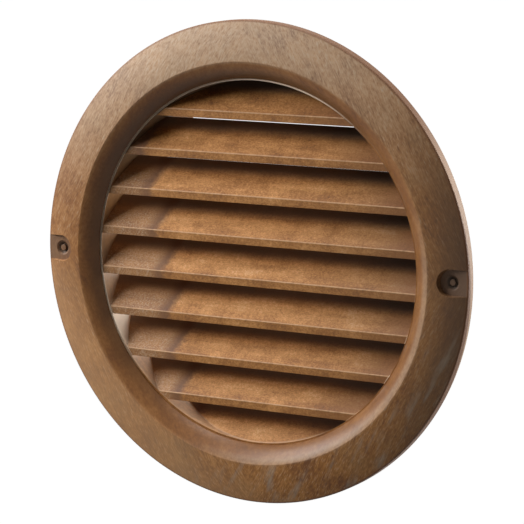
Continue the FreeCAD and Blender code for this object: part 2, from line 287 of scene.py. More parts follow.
def build_turning_tree():
    """A tree that turns a closed section of points about an axis along Y."""
    tree, sizes, result = new_shape_tree("turned_section", {"Steps": "Int", "Across": "Float"})
    points = add_node(tree, "GeometryNodeAttributeDomainSize", {"Geometry": sizes["Geometry"]})
    count = points.outputs["Point Count"]
    rows = calc(tree, "ADD", sizes["Steps"], 1.0)
    grid = add_node(tree, "GeometryNodeMeshGrid", {
        "Vertices X": calc(tree, "ADD", count, 1.0), "Vertices Y": rows})
    number = tree.nodes.new("GeometryNodeInputIndex").outputs[0]
    column = calc(tree, "MODULO", calc(tree, "FLOOR", calc(tree, "DIVIDE", number, rows)), count)
    share = calc(tree, "DIVIDE", calc(tree, "MODULO", number, rows), sizes["Steps"])
    angle = calc(tree, "MULTIPLY", share, math.tau)

    place = tree.nodes.new("GeometryNodeInputPosition").outputs[0]
    sample = add_node(tree, "GeometryNodeSampleIndex", {"Geometry": sizes["Geometry"], "Index": column},
                      data_type="FLOAT_VECTOR")
    tree.links.new(place, sample.inputs["Value"])
    spot = add_node(tree, "ShaderNodeSeparateXYZ", {0: sample.outputs["Value"]}).outputs
    turned = add_node(tree, "ShaderNodeCombineXYZ", {
        "X": calc(tree, "MULTIPLY_ADD", spot["X"], calc(tree, "SINE", angle), sizes["Across"]),
        "Y": spot["Y"],
        "Z": calc(tree, "MULTIPLY", spot["X"], calc(tree, "COSINE", angle))})
    bent = add_node(tree, "GeometryNodeSetPosition", {
        "Geometry": grid.outputs["Mesh"], "Position": turned.outputs[0]})
    closed = add_node(tree, "GeometryNodeMergeByDistance", {
        "Geometry": bent.outputs[0], "Distance": MERGE_GAP})
    tree.links.new(closed.outputs[0], result["Geometry"])
    return tree


turning = build_turning_tree()
print("turning tree has", len(turning.nodes), "nodes")


# %% Turn the ring
ROUND_STEPS = 360


def section_mesh(name, outline):
    """A section's points as a bare mesh in metres."""
    mesh = bpy.data.meshes.new(name)
    mesh.from_pydata([(point[0] * MM, point[1] * MM, 0.0) for point in outline], [], [])
    return mesh


ring_sizes = {"Steps": ROUND_STEPS, "Across": 0.0}
ring = grow("ring_shape", turning, ring_sizes, section_mesh("ring_section", section))
print("ring volume", volume_of(ring), "with", len(ring.data.polygons), "faces")

# %% [markdown]
# ## The slats
# Eight lips show at one pitch. Each blade slopes down to the front, is cut upright at its lip and has small
# roundings. It could be a bevelled box. Drawing its section instead keeps the lip's face upright whatever
# the slope is, and each corner gets its own rounding.

# %% Draw a blade's section
SLAT_PITCH = 11.0
SLAT_LIPS = 8
SLAT_ANGLE = math.radians(45.0)
SLAT_WALL = 1.6
SLAT_DEPTH = 8.2
LIP_SET_BACK = 0.2
SLAT_FRONT = LAND_HEIGHT - LIP_SET_BACK
LIP_TOP_ROUND = 0.3
LIP_UNDER_ROUND = 0.15
SLAT_BACK_ROUND = 0.3
LIP_FACE = SLAT_WALL / math.cos(SLAT_ANGLE)
TOP_LIP = SLAT_PITCH * (SLAT_LIPS - 1) / 2 + LIP_FACE / 2


def rounded(corner, before, after, radius):
    """The points of a corner's rounding between its two neighbours; a sharp corner stays one point."""
    if not radius:
        return [corner]
    one = (before - corner).normalized()
    other = (after - corner).normalized()
    half = one.angle(other) / 2
    centre = corner + (one + other).normalized() * radius / math.sin(half)
    return arc(centre, corner + one * radius / math.tan(half), corner + other * radius / math.tan(half))


def soft_outline(corners, rounds):
    """An outline through the corners, each with its own rounding."""
    corners = [Vector(corner) for corner in corners]
    points = []
    for i, corner in enumerate(corners):
        points += rounded(corner, corners[i - 1], corners[(i + 1) % len(corners)], rounds[i])
    return points


def blade_section(lip, depth):
    """The outline of one blade, as depth behind the wall plane and height."""
    back = depth - SLAT_FRONT
    rise = depth * math.tan(SLAT_ANGLE)
    corners = [(-SLAT_FRONT, lip), (-SLAT_FRONT, lip - LIP_FACE),
               (back, lip - LIP_FACE + rise), (back, lip + rise)]
    return soft_outline(corners, (LIP_TOP_ROUND, LIP_UNDER_ROUND, 0.0, SLAT_BACK_ROUND))


def blade_end(name, outline):
    """One flat end of a blade, far to the left of the tube, as a single face."""
    mesh = bpy.data.meshes.new(name)
    spots = [(-TUBE_RADIUS * MM, point.x * MM, point.y * MM) for point in outline]
    mesh.from_pydata(spots, [], [list(range(len(spots)))])
    return mesh


print("a blade's section has", len(blade_section(0.0, SLAT_DEPTH)), "points")

# %% [markdown]
# ## The row of slats
# An Array modifier could repeat the blade. In a tree the same steps stand in one place: the blade's end is
# pushed across the tube, set on a line of points and trimmed with a cylinder that ends inside the tube's
# wall, so that every blade is rooted in it. The lowest blade has its lip in the wall, and only its back
# shows. The top blade is deeper than the rest and runs up into the wall, so it has a section of its own.

# %% Build the slat tree
def build_slat_tree():
    """A tree that pushes a blade's end across the tube, repeats it and trims the row to the tube."""
    tree, sizes, result = new_shape_tree("slat_row", {
        "Count": "Int", "Pitch": "Float", "Length": "Float", "Trim Radius": "Float", "Trim Depth": "Float"})
    across = add_node(tree, "ShaderNodeCombineXYZ", {"X": sizes["Length"]})
    pushed = add_node(tree, "GeometryNodeExtrudeMesh", {
        "Mesh": sizes["Geometry"], "Offset": across.outputs[0], "Offset Scale": 1.0})
    near_end = add_node(tree, "GeometryNodeFlipFaces", {"Mesh": sizes["Geometry"]})
    both = add_node(tree, "GeometryNodeJoinGeometry")
    for part in (near_end, pushed):
        tree.links.new(part.outputs[0], both.inputs[0])
    blade = add_node(tree, "GeometryNodeMergeByDistance", {
        "Geometry": both.outputs[0], "Distance": MERGE_GAP})

    down = add_node(tree, "ShaderNodeCombineXYZ", {"Z": calc(tree, "MULTIPLY", sizes["Pitch"], -1.0)})
    spots = add_node(tree, "GeometryNodeMeshLine", {"Count": sizes["Count"], "Offset": down.outputs[0]})
    row = add_node(tree, "GeometryNodeInstanceOnPoints", {
        "Points": spots.outputs[0], "Instance": blade.outputs[0]})
    real = add_node(tree, "GeometryNodeRealizeInstances", {"Geometry": row.outputs[0]})

    core = add_node(tree, "GeometryNodeMeshCylinder", {
        "Vertices": ROUND_STEPS, "Radius": sizes["Trim Radius"],
        "Depth": calc(tree, "MULTIPLY", sizes["Trim Depth"], 2.0)})
    lying = add_node(tree, "GeometryNodeTransform", {
        "Geometry": core.outputs["Mesh"], "Rotation": (math.pi / 2, 0.0, 0.0)})
    trimmed = add_node(tree, "GeometryNodeMeshBoolean", operation="INTERSECT", solver="MANIFOLD")
    for part in (real, lying):
        tree.links.new(part.outputs[0], trimmed.inputs["Mesh 2"])
    tree.links.new(trimmed.outputs["Mesh"], result["Geometry"])
    return tree


slat_tree = build_slat_tree()
print("slat tree has", len(slat_tree.nodes), "nodes")

# %% Make the slats
slat_sizes = {
    "Pitch": SLAT_PITCH * MM,
    "Length": 2 * TUBE_RADIUS * MM,
    "Trim Radius": (OPENING_RADIUS + TUBE_WALL / 2) * MM,
    "Trim Depth": TUBE_LENGTH * MM,
}
lower_end = blade_end("lower_blade_end", blade_section(TOP_LIP - SLAT_PITCH, SLAT_DEPTH))
lower_slats = grow("lower_slats_shape", slat_tree, {**slat_sizes, "Count": SLAT_LIPS}, lower_end)
print("lower slats volume", volume_of(lower_slats))

top_depth = (TUBE_RADIUS - TOP_LIP) / math.tan(SLAT_ANGLE)
top_end = blade_end("top_blade_end", blade_section(TOP_LIP, top_depth))
top_slat = grow("top_slat_shape", slat_tree, {**slat_sizes, "Count": 1}, top_end)
print("top slat volume", volume_of(top_slat))

# %% [markdown]
# ## The screw pockets
# Left and right on the slope a shallow pocket gives each screw head a flat seat. Its walls lean for the
# mould, and it is open at the rim. A bevelled cube could be cut out of the ring. A small mesh between two
# slot outlines, one on the floor and a wider one in front, gives the round end and the lean exactly. A pad
# behind keeps the wall.

# %% Shape the pockets and their backing pads
POCKET_WIDTH = 6.6
POCKET_LEAN = math.tan(math.radians(14.0))
ROUND_END_STEPS = 32
SIDES = ((-1, "left"), (1, "right"))
CUT_OVERRUN = 1.0
PAD_SINK = SHELL_WALL / 5


def slot_outline(half_width, outer):
    """A slot that is round about the screw's place and open towards the rim."""
    turns = [math.pi / 2 + math.pi * step / ROUND_END_STEPS for step in range(ROUND_END_STEPS + 1)]
    points = [(SCREW_PLACE + half_width * math.cos(turn), half_width * math.sin(turn)) for turn in turns]
    return points + [(outer, -half_width), (outer, half_width)]


def slot_block(name, side, back_slot, back_depth, front_slot, front_depth):
    """A closed block between two slot outlines, on the right or, with side -1, on the left."""
    count = len(back_slot)
    spots = [(side * x * MM, back_depth * MM, z * MM) for x, z in back_slot]
    spots += [(side * x * MM, front_depth * MM, z * MM) for x, z in front_slot]
    walls = [[i, (i + 1) % count, count + (i + 1) % count, count + i] for i in range(count)]
    mesh = bpy.data.meshes.new(name)
    mesh.from_pydata(spots, [], walls + [list(range(count)), list(range(count, 2 * count))])
    shell = bmesh.new()
    shell.from_mesh(mesh)
    bmesh.ops.recalc_face_normals(shell, faces=shell.faces)
    shell.to_mesh(mesh)
    shell.free()
    block = bpy.data.objects.new(name, mesh)
    bpy.context.scene.collection.objects.link(block)
    return block


pads, cuts = [], []
reach = FLANGE_RADIUS + CUT_OVERRUN
flare = POCKET_LEAN * (RIDGE_HEIGHT + CUT_OVERRUN - RIM_DEPTH)
pad_slot = slot_outline(POCKET_WIDTH / 2 + SHELL_WALL, FLANGE_RADIUS - SHELL_WALL / 2)
floor_slot = slot_outline(POCKET_WIDTH / 2, reach)
mouth_slot = slot_outline(POCKET_WIDTH / 2 + flare, reach)
for side, word in SIDES:
    pads.append(slot_block(f"{word}_pad", side, pad_slot, 0.0, pad_slot, PAD_SINK - RIM_DEPTH))
    cuts.append(slot_block(f"{word}_pocket", side, floor_slot, -RIM_DEPTH,
                           mouth_slot, -RIDGE_HEIGHT - CUT_OVERRUN))
print("pocket volumes", [volume_of(cut) for cut in cuts])

# %% [markdown]
# ## The closed screw holes
# In each pocket's floor is a closed hole: a dish round a low pip that a fitter pierces, with a bore behind
# it that leaves a thin web. Both are round, so they are drawn as sections and turned by the tree that made
# the ring.

# %% Turn the closed screw holes
DISH_STEPS = 64
DISH_RADIUS = 2.0
DISH_SPREAD = math.tan(math.radians(50.0))
WEB_WALL = 0.6
PIP_RADIUS = 0.85
PIP_SINK = 0.15
PIP_DOME = 0.08
EDGE_ROUND = 0.12
DISH_FLOOR = (DISH_RADIUS - PIP_RADIUS) / DISH_SPREAD - RIM_DEPTH


def dish_section():
    """The dish round the pip, with the pip's dome and soft edges."""
    front = -RIM_DEPTH - CUT_OVERRUN
    pip_top = PIP_SINK - RIM_DEPTH
    corners = [(0.0, pip_top - PIP_DOME), (PIP_RADIUS, pip_top), (PIP_RADIUS, DISH_FLOOR),
               (DISH_RADIUS + CUT_OVERRUN * DISH_SPREAD, front), (0.0, front)]
    return soft_outline(corners, (0.0, EDGE_ROUND, EDGE_ROUND, 0.0, 0.0))


def bore_section():
    """The bore behind, which leaves a thin web to pierce."""
    end = DISH_FLOOR + WEB_WALL
    return [(0.0, CUT_OVERRUN), (KNOCKOUT_RADIUS, CUT_OVERRUN), (KNOCKOUT_RADIUS, end), (0.0, end)]


for side, word in SIDES:
    for part, outline in (("dish", dish_section()), ("bore", bore_section())):
        start = section_mesh(f"{word}_{part}_section", outline)
        turn_sizes = {"Steps": DISH_STEPS, "Across": side * SCREW_PLACE * MM}
        cuts.append(grow(f"{word}_{part}", turning, turn_sizes, start))
        print(word, part, "volume", volume_of(cuts[-1]))

# %% [markdown]
# ## The finish
# The plastic is coloured in the mass to look like brown wood, and weather has since bleached and scuffed it.
# Light and shade are painted into the colour too, in many places. Such a finish could be painted on an
# unwrapped mesh. Here it is one node tree that reads Object coordinates in millimetres, so it stays with the
# piece and needs no picture. It is built like paint, layer over layer: each layer is a colour and a share,
# and most shares are soft steps whose two ends are named before they are used.

# %% Helpers for the finish
NOISE_GAIN, NOISE_DROP = 4.0, -2.0


def between(tree, value, start, end):
    """A soft step from 0 to 1 while the value goes from start to end."""
    return add_node(tree, "ShaderNodeMapRange", {"Value": value, "From Min": start, "From Max": end},
                    interpolation_type="SMOOTHSTEP").outputs[0]


def noise(tree, place, per_mm, detail):
    """A noise with so many features to the millimetre, from about -1 to 1."""
    cloud = add_node(tree, "ShaderNodeTexNoise", {"Vector": place, "Scale": per_mm, "Detail": detail})
    return calc(tree, "MULTIPLY_ADD", cloud.outputs[0], NOISE_GAIN, NOISE_DROP)


def times(tree, product, *shares):
    """The product of several shares."""
    for share in shares:
        product = calc(tree, "MULTIPLY", product, share)
    return product


def weighed(tree, total, *pairs):
    """A start value plus several values, each times its own weight."""
    for value, weight in pairs:
        total = calc(tree, "MULTIPLY_ADD", value, weight, total)
    return total


def length_of(tree, one, other):
    """The length of the slanting side over two upright ones."""
    return calc(tree, "SQRT", calc(tree, "MULTIPLY_ADD", one, one, times(tree, other, other)))


def blend(tree, share, one, other):
    """A value between two others."""
    return add_node(tree, "ShaderNodeMix", {0: share, 2: one, 3: other}).outputs[0]


def tint(tree, under, over, *shares):
    """A colour laid over another, by the product of its shares."""
    mixed = add_node(tree, "ShaderNodeMix", {"Factor": times(tree, *shares)}, data_type="RGBA")
    for socket, colour in (("A_Color", under), ("B_Color", over)):
        target = next(slot for slot in mixed.inputs if slot.identifier == socket)
        if isinstance(colour, bpy.types.NodeSocket):
            tree.links.new(colour, target)
        else:
            target.default_value = (*colour, 1.0)
    return next(slot for slot in mixed.outputs if slot.identifier == "Result_Color")


# %% [markdown]
# ## Places on the cover
# The slope, the throat, the land and the slats each age, and take painted light and shade, in their own way,
# so the finish has to know where it is. Vertex groups could mark the places. The cover is round, so the
# distance from its axis and the depth behind the wall plane tell them apart, and the marks follow the sizes
# by themselves.

# %% Mark the places
OPENING_EDGE = (OPENING_RADIUS - 0.3, OPENING_RADIUS - 0.1)
RIDGE_EDGE = (RIDGE_RADIUS - 1.0, RIDGE_RADIUS + 0.4)
LAND_EDGE = (0.1 - LAND_HEIGHT, -0.1 - LAND_HEIGHT)

wood_effect_plastic = bpy.data.materials.new("wood_effect_finish")
wood_effect_plastic.use_nodes = True
plastic = wood_effect_plastic.node_tree

object_place = add_node(plastic, "ShaderNodeTexCoord").outputs["Object"]
in_mm = add_node(plastic, "ShaderNodeVectorMath", {0: object_place, "Scale": 1 / MM}, operation="SCALE")
place = in_mm.outputs[0]
x, y, z = add_node(plastic, "ShaderNodeSeparateXYZ", {0: place}).outputs
off_centre = calc(plastic, "ABSOLUTE", z)
to_upper_left = calc(plastic, "SUBTRACT", z, x)
to_lower_right = calc(plastic, "SUBTRACT", x, z)

radius = length_of(plastic, x, z)
on_ring = between(plastic, radius, *OPENING_EDGE)
off_ring = calc(plastic, "SUBTRACT", 1.0, on_ring)
on_slope = between(plastic, radius, *RIDGE_EDGE)
off_throat = calc(plastic, "MAXIMUM", on_slope, off_ring)
in_front = between(plastic, y, *LAND_EDGE)
in_throat = times(plastic, calc(plastic, "SUBTRACT", on_ring, on_slope), in_front)
print("places are marked with", len(plastic.nodes), "nodes")

# %% [markdown]
# ## The grain
# The melt carries a lighter and a darker brown that never quite mix. On the ring they draw out into fine
# fibres that lean one way or the other by quarter, as if they parted round the opening, and on the slats
# they lie along the blade. One Noise texture alone looks like cloud. Stretching it along the flow gives
# fibres, and coarser noises add wisps, mottle and clouds. The middle of each slat is painted a little
# lighter, as painted light.

# %% Grow the grain
FIBRE_LEAN = math.radians(28.0)
FIBRE_LENGTH = 6.0
FIBRES_PER_MM, WISPS_PER_MM = 3.2, 0.6
SLAT_FIBRES_PER_MM, SLAT_BANDS_PER_MM = 3.4, 0.5
SLAT_FIBRE_LENGTH, SLAT_BAND_LENGTH = 1.6, 6.0
MOTTLE_PER_MM, CLOUDS_PER_MM = 1.1, 0.12
ROUGH, ROUGHER, SMOOTHER = 4.0, 5.0, 3.0
QUARTERS_MEET = (-200.0, 200.0)
THROAT_FIBRES = 0.3


def leaning(tree, lean):
    """Coordinates for fibres that stand at a lean: turned about Y, then stretched upwards."""
    turned = add_node(tree, "ShaderNodeVectorRotate", {"Vector": place, "Angle": lean},
                      rotation_type="Y_AXIS")
    return add_node(tree, "ShaderNodeVectorMath", {0: turned.outputs[0], 1: (1.0, 1.0, 1 / FIBRE_LENGTH)},
                    operation="MULTIPLY").outputs[0]


def lying(tree, stretch):
    """Coordinates for fibres that lie along the slats."""
    return add_node(tree, "ShaderNodeCombineXYZ", {
        "X": calc(tree, "DIVIDE", x, stretch), "Y": y, "Z": z}).outputs[0]


rising_place, falling_place = leaning(plastic, -FIBRE_LEAN), leaning(plastic, FIBRE_LEAN)
quarter = between(plastic, times(plastic, x, z), *QUARTERS_MEET)
rising = noise(plastic, rising_place, FIBRES_PER_MM, ROUGH)
falling = noise(plastic, falling_place, FIBRES_PER_MM, ROUGH)
slat_fibres = noise(plastic, lying(plastic, SLAT_FIBRE_LENGTH), SLAT_FIBRES_PER_MM, ROUGH)
fibres = blend(plastic, on_ring, slat_fibres, blend(plastic, quarter, rising, falling))
fibres = times(plastic, fibres, blend(plastic, off_throat, THROAT_FIBRES, 1.0))

ring_wisps = blend(plastic, quarter, noise(plastic, rising_place, WISPS_PER_MM, ROUGHER),
                   noise(plastic, falling_place, WISPS_PER_MM, ROUGHER))
slat_bands = noise(plastic, lying(plastic, SLAT_BAND_LENGTH), SLAT_BANDS_PER_MM, ROUGH)
wisps = blend(plastic, on_ring, slat_bands, ring_wisps)
mottle = noise(plastic, place, MOTTLE_PER_MM, SMOOTHER)
clouds = noise(plastic, place, CLOUDS_PER_MM, SMOOTHER)
print("grain is made with", len(plastic.nodes), "nodes")

# %% Colour the grain
DARK_BROWN = (0.170, 0.062, 0.018)
MID_BROWN = (0.370, 0.155, 0.040)
PALE_BROWN = (0.600, 0.285, 0.092)
LIGHT_BROWN = (0.700, 0.390, 0.180)
DARK_STOP, MID_STOP, PALE_STOP = 0.10, 0.45, 0.80
SLAT_TONE, RING_TONE = 0.56, 0.52
SLAT_CONTRAST, RING_CONTRAST = 0.34, 0.42
MOTTLE_CONTRAST, CLOUD_CONTRAST, WISP_CONTRAST = 0.20, 0.32, 0.26
SLAT_PAINTED_LIGHT_LIFT = 0.26
SLAT_PAINTED_LIGHT_BACK, SLAT_PAINTED_LIGHT_FRONT, SLAT_PAINTED_LIGHT_TOP = (6.0, 3.5), (-0.6, 1.8), (42.0, 5.0)
TONE_GAIN, TONE_LIFT = 0.70, 0.10

# Painted light: the middle of each slat's slope is lifted lighter, where light falls on it.
painted_slat_light = times(plastic, between(plastic, y, *SLAT_PAINTED_LIGHT_BACK), between(plastic, y, *SLAT_PAINTED_LIGHT_FRONT),
                 off_ring, between(plastic, z, *SLAT_PAINTED_LIGHT_TOP))
tone = weighed(plastic, blend(plastic, on_ring, SLAT_TONE, RING_TONE),
               (fibres, blend(plastic, on_ring, SLAT_CONTRAST, RING_CONTRAST)), (mottle, MOTTLE_CONTRAST),
               (painted_slat_light, SLAT_PAINTED_LIGHT_LIFT), (clouds, CLOUD_CONTRAST), (wisps, WISP_CONTRAST))
ramp = add_node(plastic, "ShaderNodeValToRGB", {0: weighed(plastic, TONE_LIFT, (tone, TONE_GAIN))})
stops = ramp.color_ramp.elements
stops[0].position = DARK_STOP
stops.new(MID_STOP)
stops.new(PALE_STOP)
for stop, brown in zip(stops, (DARK_BROWN, MID_BROWN, PALE_BROWN, LIGHT_BROWN)):
    stop.color = (*brown, 1.0)
colour = ramp.outputs[0]
print("browns stand at", [round(stop.position, 2) for stop in stops])

# %% [markdown]
# ## Weather and painted light on the slope
# The upper part of the slope is greyed, partly as by sun and rain and partly as a painted sheen, with pale
# hairs along its fibres. The left is painted browner as shade, the lower left is painted paler as light, and
# the right is painted dark and dull as shade. A picture of dirt could be laid over it. Here each change
# grows along a direction in the ring's plane, and for some of them the clouds and wisps of the grain fray
# the border, so that it does not look ruled.

# %% Weather the slope and paint its light and shade
BLEACH_AND_SHEEN = (0.530, 0.390, 0.268)
OLIVE = (0.330, 0.235, 0.120)
PAINTED_LIGHT_TAN = (0.640, 0.365, 0.185)
HAIR_TONES, HAIR_SHARE = (0.2, 1.1), 0.75
OLIVE_PER_MM, OLIVE_TONES, OLIVE_SHARE = 0.07, (-0.2, 1.2), 0.25
STREAK_START, STREAK_MOTTLE, STREAK_FIBRES = 0.65, 0.20, 0.30
SKY_ACROSS, SKY_UP, SKY_CLOUDS, SKY_WISPS = -0.15, 0.98, 6.0, 8.0
SKY_REACH = (8.0, 62.0)
LEFT_SHADE_NARROWING, LEFT_SHADE_REACH, LEFT_SHADE_SHARE = -0.8, (5.0, 55.0), 0.35
LIT_LOWER_LEFT_LEAN, LIT_LOWER_LEFT_REACH, LIT_LOWER_LEFT_SHARE = -0.7, (34.0, 58.0), 0.50

colour = tint(plastic, colour, BLEACH_AND_SHEEN, between(plastic, fibres, *HAIR_TONES), on_slope, HAIR_SHARE)
patches = noise(plastic, place, OLIVE_PER_MM, ROUGH)
colour = tint(plastic, colour, OLIVE, between(plastic, patches, *OLIVE_TONES), on_slope, OLIVE_SHARE)
streaked = weighed(plastic, STREAK_START, (mottle, STREAK_MOTTLE), (fibres, STREAK_FIBRES))
# Bleaching and painted sheen on the upper part of the slope.
to_bleach_and_sheen = weighed(plastic, 0.0, (x, SKY_ACROSS), (z, SKY_UP), (clouds, SKY_CLOUDS), (wisps, SKY_WISPS))
colour = tint(plastic, colour, BLEACH_AND_SHEEN, between(plastic, to_bleach_and_sheen, *SKY_REACH), on_slope, streaked)
# Painted shade: the left of the slope is darkened to a deeper brown.
to_left_shade = weighed(plastic, 0.0, (x, -1.0), (off_centre, LEFT_SHADE_NARROWING))
colour = tint(plastic, colour, DARK_BROWN, between(plastic, to_left_shade, *LEFT_SHADE_REACH), on_slope, LEFT_SHADE_SHARE)
# Painted light: the lower left of the slope is made paler.
to_lit_lower_left = weighed(plastic, 0.0, (z, LIT_LOWER_LEFT_LEAN), (x, LIT_LOWER_LEFT_LEAN))
colour = tint(plastic, colour, PAINTED_LIGHT_TAN, between(plastic, to_lit_lower_left, *LIT_LOWER_LEFT_REACH), on_slope, LIT_LOWER_LEFT_SHARE)
print("slope is weathered with", len(plastic.nodes), "nodes")

# %% Paint shade on the right side
RIGHT_PAINTED_SHADE = (0.120, 0.066, 0.036)
RIGHT_SHADE_NARROWING, RIGHT_SHADE_CLOUDS, RIGHT_SHADE_REACH = -0.40, 6.0, (0.0, 60.0)
RIGHT_SHADE_START, RIGHT_SHADE_GAIN = 0.50, 0.35
RIGHT_SHADE_OUTER, RIGHT_SHADE_TOP = (RIDGE_RADIUS, FLANGE_RADIUS - 2.0), (60.0, 15.0)

# Painted shade: the right side of the slope darkens, most towards the rim.
to_right_shade = weighed(plastic, x, (off_centre, RIGHT_SHADE_NARROWING), (clouds, RIGHT_SHADE_CLOUDS))
right_shade_share = weighed(plastic, RIGHT_SHADE_START, (between(plastic, radius, *RIGHT_SHADE_OUTER), RIGHT_SHADE_GAIN))
colour = tint(plastic, colour, RIGHT_PAINTED_SHADE, between(plastic, to_right_shade, *RIGHT_SHADE_REACH), off_throat, right_shade_share,
              between(plastic, z, *RIGHT_SHADE_TOP))
print("sheltered side darkens from the ridge to", round(RIGHT_SHADE_OUTER[1], 1), "mm")

# %% [markdown]
# ## The throat, the ridge and the scuffs
# The throat is a deeper brown, partly as its own tone and partly as painted shade, which is darkest by the
# land at the upper left. At the lower right a painted highlight runs pale along the ridge, and the slope
# outside it is scuffed. The lights give part of this shade and highlight, but the photograph shows it
# stronger, so it is painted into the colour too. Pointiness could find the ridge, but it depends on the
# mesh, and the distance from the axis does not.

# %% Colour the throat, the ridge and the scuffs
THROAT_PAINTED_SHADE = (0.110, 0.045, 0.010)
SCUFFED = (0.460, 0.365, 0.275)
THROAT_TONE_AND_SHADE_SHARE = 0.52
THROAT_SHADE_DEPTH = (RIDGE_RADIUS - 1.0, OPENING_RADIUS + 1.0)
THROAT_SHADE_SIDE, THROAT_SHADE_START, THROAT_SHADE_GAIN = (-30.0, 40.0), 0.25, 0.55
RIDGE_HIGHLIGHT_INSIDE = (RIDGE_RADIUS - 2.4, RIDGE_RADIUS - 1.0)
RIDGE_HIGHLIGHT_OUTSIDE = (RIDGE_RADIUS + 0.6, RIDGE_RADIUS - 0.4)
RIDGE_HIGHLIGHT_SIDE, RIDGE_HIGHLIGHT_SHARE = (25.0, 60.0), 0.55
SCUFFS_PER_MM, SCUFF_ROUGHNESS, SCUFF_TONES = 0.45, 6.0, (0.0, 1.6)
SCUFF_SIDE, SCUFF_TOP = (30.0, 60.0), (-4.0, -24.0)

# Own deeper tone and painted shade in the throat, with more painted shade by the land at the upper left.
colour = tint(plastic, colour, DARK_BROWN, in_throat, THROAT_TONE_AND_SHADE_SHARE)
throat_shading = weighed(plastic, THROAT_SHADE_START, (between(plastic, to_upper_left, *THROAT_SHADE_SIDE), THROAT_SHADE_GAIN))
colour = tint(plastic, colour, THROAT_PAINTED_SHADE, in_throat, between(plastic, radius, *THROAT_SHADE_DEPTH), throat_shading)
# Painted highlight: a pale band along the ridge at the lower right.
colour = tint(plastic, colour, BLEACH_AND_SHEEN, between(plastic, radius, *RIDGE_HIGHLIGHT_INSIDE),
              between(plastic, radius, *RIDGE_HIGHLIGHT_OUTSIDE), between(plastic, to_lower_right, *RIDGE_HIGHLIGHT_SIDE),
              streaked, in_front, RIDGE_HIGHLIGHT_SHARE)
scratches = noise(plastic, rising_place, SCUFFS_PER_MM, SCUFF_ROUGHNESS)
colour = tint(plastic, colour, SCUFFED, between(plastic, scratches, *SCUFF_TONES), on_slope,
              between(plastic, to_lower_right, *SCUFF_SIDE), between(plastic, z, *SCUFF_TOP))
print("throat, ridge and scuffs are coloured with", len(plastic.nodes), "nodes")

# %% [markdown]
# ## Dirt and painted shade in the pockets, and the rim
# Dirt and painted shade lie on the pockets' floors, and painted shade lies in the dish round each pip. The
# rim's side is painted dark brown as shade in front and pale towards the wall as a painted highlight, with a
# slanting border. A second material could colour these places. A share is softer at its border, and the
# cover keeps one material.

# %% Colour the pockets and the rim
POCKET_DIRT_AND_SHADE = (0.170, 0.105, 0.070)
DISH_PAINTED_SHADE = (0.035, 0.024, 0.016)
RIM_PAINTED_SHADE = (0.200, 0.085, 0.035)
RIM_PAINTED_HIGHLIGHT = (0.620, 0.400, 0.260)
POCKET_SIDE, POCKET_DIRT_AND_SHADE_SHARE = (POCKET_WIDTH / 2 + 0.2, POCKET_WIDTH / 2 - 0.1), 0.6
POCKET_FLOOR = (-RIM_DEPTH - 0.2, -RIM_DEPTH - 0.05)
DISH_OUTSIDE, DISH_INSIDE = (DISH_RADIUS - 0.2, DISH_RADIUS - 0.6), (PIP_RADIUS - 0.15, PIP_RADIUS + 0.05)
DISH_TOP, DISH_SHADE_SHARE = (-RIM_DEPTH, -RIM_DEPTH + 0.1), 0.7
RIM_EDGE, RIM_SHADE_SHARE = (FLANGE_RADIUS - 0.7, FLANGE_RADIUS - 0.2), 0.9
RIM_SIDE = (FLANGE_RADIUS - 0.1, FLANGE_RADIUS - 0.02)
RIM_HIGHLIGHT_SLANT, RIM_HIGHLIGHT_LINE, RIM_HIGHLIGHT_TOP = 0.045, (-1.7, -1.2), (46.0, 24.0)

# Dirt and painted shade: the pockets' floors are greyed and darkened.
colour = tint(plastic, colour, POCKET_DIRT_AND_SHADE, between(plastic, off_centre, *POCKET_SIDE),
              between(plastic, y, *POCKET_FLOOR), on_slope, POCKET_DIRT_AND_SHADE_SHARE)
across_screw = calc(plastic, "SUBTRACT", calc(plastic, "ABSOLUTE", x), SCREW_PLACE)
from_screw = length_of(plastic, across_screw, z)
# Painted shade: the recess of the dish round each pip is darkened.
colour = tint(plastic, colour, DISH_PAINTED_SHADE, between(plastic, from_screw, *DISH_OUTSIDE),
              between(plastic, from_screw, *DISH_INSIDE), between(plastic, y, *DISH_TOP), DISH_SHADE_SHARE)
# Painted shade: the rim's rounding and side are darkened.
colour = tint(plastic, colour, RIM_PAINTED_SHADE, between(plastic, radius, *RIM_EDGE), RIM_SHADE_SHARE)
# Painted highlight: the rim's side is pale towards the wall, except at the top.
rim_highlight_line = weighed(plastic, y, (z, RIM_HIGHLIGHT_SLANT))
colour = tint(plastic, colour, RIM_PAINTED_HIGHLIGHT, between(plastic, rim_highlight_line, *RIM_HIGHLIGHT_LINE),
              between(plastic, radius, *RIM_SIDE), between(plastic, z, *RIM_HIGHLIGHT_TOP))
print("pockets and rim are coloured with", len(plastic.nodes), "nodes")

# %% [markdown]
# ## The slats and their painted shadow line
# The slats have painted shade towards the tube on the right and painted grey shade in their depth, under the
# lips. A painted shadow line crosses all of them on the left, and left of it they have painted shade with
# pale streaks of painted sheen. The line is one slanting plane through the cover, so a single distance from
# that plane draws it on every slat.

# %% Colour the slats
GAP_SHADE_GREY = (0.125, 0.092, 0.070)
SHADOW_LINE_SIDE_SHADE = (0.260, 0.145, 0.080)
SHADOW_LINE_PLACE, SHADOW_LINE_LEAN, SHADOW_LINE_SKEW, SHADOW_LINE_WAVER = -30.1, 0.16, 0.5, 0.4
LEFT_OF_SHADOW_LINE, SHADOW_LINE_SIDE_SHADE_SHARE = (1.0, -4.0), 0.45
SHADE_BY_WALL, SHADE_BY_WALL_SIDE, SHADE_BY_WALL_SHARE = (34.0, OPENING_RADIUS), (5.0, 25.0), 0.65
GAP_SHADE_DEPTH, GAP_SHADE_SHARE = (3.6, 6.2), 0.92
SHEEN_TONES, SHEEN_DEPTH = (-0.4, 2.0), (5.0, 2.0)

